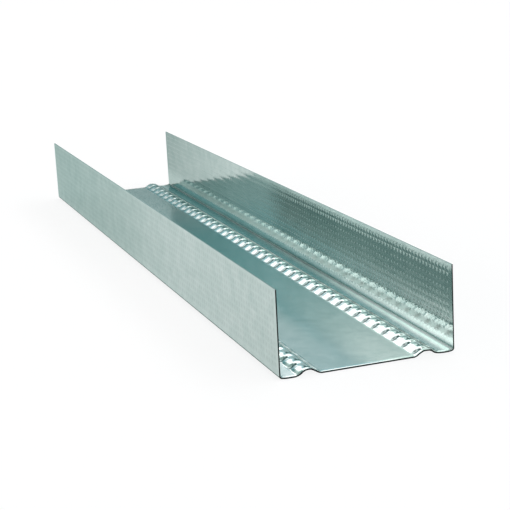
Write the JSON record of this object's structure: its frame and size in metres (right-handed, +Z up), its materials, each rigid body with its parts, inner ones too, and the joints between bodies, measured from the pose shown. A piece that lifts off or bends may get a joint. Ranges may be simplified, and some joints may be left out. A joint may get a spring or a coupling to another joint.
{
  "type": "drywall floor track",
  "caption": "U-shaped channel of galvanised sheet steel with a ribbed web, fixed to a floor to hold the feet of drywall partition studs.",
  "frame": {"origin": "middle of the web's underside, midway along the track", "axes": "+X along the track, +Y across it from flange to flange, +Z up from the web to the flange edges"},
  "size_m": [0.36, 0.066, 0.0318],
  "materials": {
    "galvanised_steel": "zinc coated by hot dip, semi-bright, with a pressed pattern of dimples on the ribs and fine dots on the flanges"
  },
  "bodies": {
    "root": {"floor_track": "galvanised_steel"}
  },
  "joints": []
}
